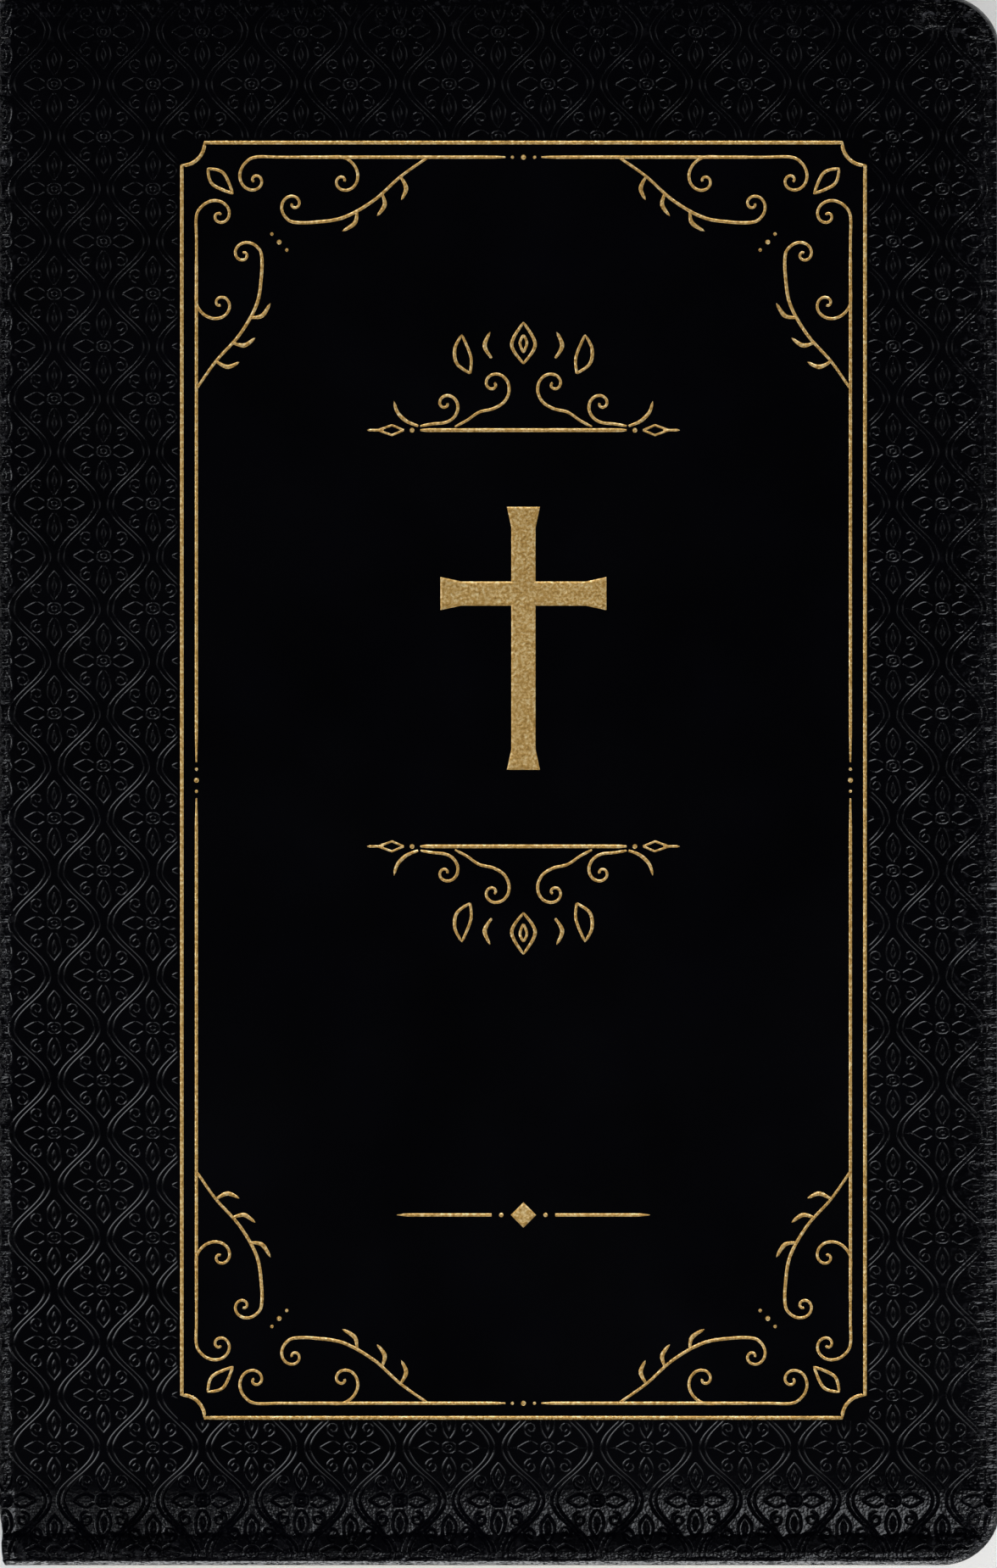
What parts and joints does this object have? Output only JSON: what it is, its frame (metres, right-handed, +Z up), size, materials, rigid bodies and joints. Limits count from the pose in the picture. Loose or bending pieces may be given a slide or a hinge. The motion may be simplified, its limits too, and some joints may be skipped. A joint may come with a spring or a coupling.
{
  "type": "bible",
  "caption": "Leather-bound bible lying closed, with opening covers, turning end leaves and a sewn block that opens flat in the middle.",
  "frame": {"origin": "centre of the closed book's box, on the surface that it lies on", "axes": "+X to the fore-edge, +Y to the head, +Z up through the thickness from the back cover to the front cover"},
  "size_m": [0.144, 0.227, 0.034],
  "materials": {
    "cover_leather": "black imitation leather, semi-gloss, fine grain with a debossed damask",
    "gold_foil": "grainy antique gold foil",
    "foam_padding": "soft foam sheet",
    "cover_board": "grey-brown millboard",
    "infill_card": "thin card",
    "endpaper": "heavy ivory endpaper, matte",
    "spine_paper": "brown kraft paper",
    "mull_cloth": "open starched weave",
    "silk_band": "gold and black silk, ribbed",
    "sewing_thread": "waxed linen thread",
    "bible_paper": "thin bible paper with gilt edges"
  },
  "bodies": {
    "rear_block": {"rear_hinge_leather": "cover_leather", "rear_spine_leather": "cover_leather", "rear_spine_liner": "spine_paper", "rear_mull": "mull_cloth", "rear_headband": "silk_band", "rear_tailband": "silk_band", "rear_stitches": "sewing_thread", "rear_flyleaf": "endpaper", "rear_section_1": "bible_paper", "rear_section_2": "bible_paper", "rear_section_3": "bible_paper", "rear_section_4": "bible_paper", "rear_section_5": "bible_paper", "rear_section_6": "bible_paper", "rear_section_7": "bible_paper"},
    "back_cover": {"back_leather": "cover_leather", "back_padding": "foam_padding", "back_board": "cover_board", "back_infill": "infill_card", "back_pastedown": "endpaper"},
    "front_block": {"front_hinge_leather": "cover_leather", "front_spine_leather": "cover_leather", "front_spine_liner": "spine_paper", "front_mull": "mull_cloth", "front_headband": "silk_band", "front_tailband": "silk_band", "front_stitches": "sewing_thread", "front_section_1": "bible_paper", "front_section_2": "bible_paper", "front_section_3": "bible_paper", "front_section_4": "bible_paper", "front_section_5": "bible_paper", "front_section_6": "bible_paper"},
    "front_cover": {"front_leather": "cover_leather", "front_padding": "foam_padding", "front_board": "cover_board", "front_infill": "infill_card", "front_pastedown": "endpaper", "foil_outer_rule": "gold_foil", "foil_inner_rule": "gold_foil", "foil_corners": "gold_foil", "foil_headpiece": "gold_foil", "foil_tailpiece": "gold_foil", "foil_cross": "gold_foil", "foil_divider": "gold_foil"},
    "right_leaf_group": {"right_leaves": "bible_paper"},
    "left_leaf_group": {"left_leaves": "bible_paper"},
    "front_flyleaf_turner": {"front_flyleaf": "endpaper"},
    "presentation_turner": {"presentation_leaf": "endpaper"}
  },
  "joints": [
    {"name": "centre_opening", "type": "hinge", "parent": "rear_block", "child": "front_block", "pos_m": [-0.0723, 0, 0.0183], "axis": [0, 1, 0], "range_deg": [-180, 0]},
    {"name": "back_cover_hinge", "type": "hinge", "parent": "rear_block", "child": "back_cover", "pos_m": [-0.0703, 0, 0.0011], "axis": [0, 1, 0], "range_deg": [0, 180]},
    {"name": "front_cover_hinge", "type": "hinge", "parent": "front_block", "child": "front_cover", "pos_m": [-0.0703, 0, 0.0354], "axis": [0, -1, 0], "range_deg": [0, 180]},
    {"name": "front_flyleaf_turn", "type": "hinge", "parent": "front_block", "child": "front_flyleaf_turner", "pos_m": [-0.0703, 0, 0.0354], "axis": [0, -1, 0], "range_deg": [0, 174.6]},
    {"name": "presentation_turn", "type": "hinge", "parent": "front_block", "child": "presentation_turner", "pos_m": [-0.0703, 0, 0.0354], "axis": [0, -1, 0], "range_deg": [0, 169.2]},
    {"name": "left_leaves_turn", "type": "hinge", "parent": "rear_block", "child": "left_leaf_group", "pos_m": [-0.0723, 0, 0.0183], "axis": [0, 1, 0], "range_deg": [-174.6, 0]},
    {"name": "right_leaves_turn", "type": "hinge", "parent": "rear_block", "child": "right_leaf_group", "pos_m": [-0.0723, 0, 0.0183], "axis": [0, 1, 0], "range_deg": [-5.4, 0]}
  ],
  "couplings": [
    {"joint": "front_flyleaf_turn", "follows": "front_cover_hinge", "ratio": 0.97},
    {"joint": "presentation_turn", "follows": "front_cover_hinge", "ratio": 0.94},
    {"joint": "left_leaves_turn", "follows": "centre_opening", "ratio": 0.97},
    {"joint": "right_leaves_turn", "follows": "centre_opening", "ratio": 0.03}
  ]
}
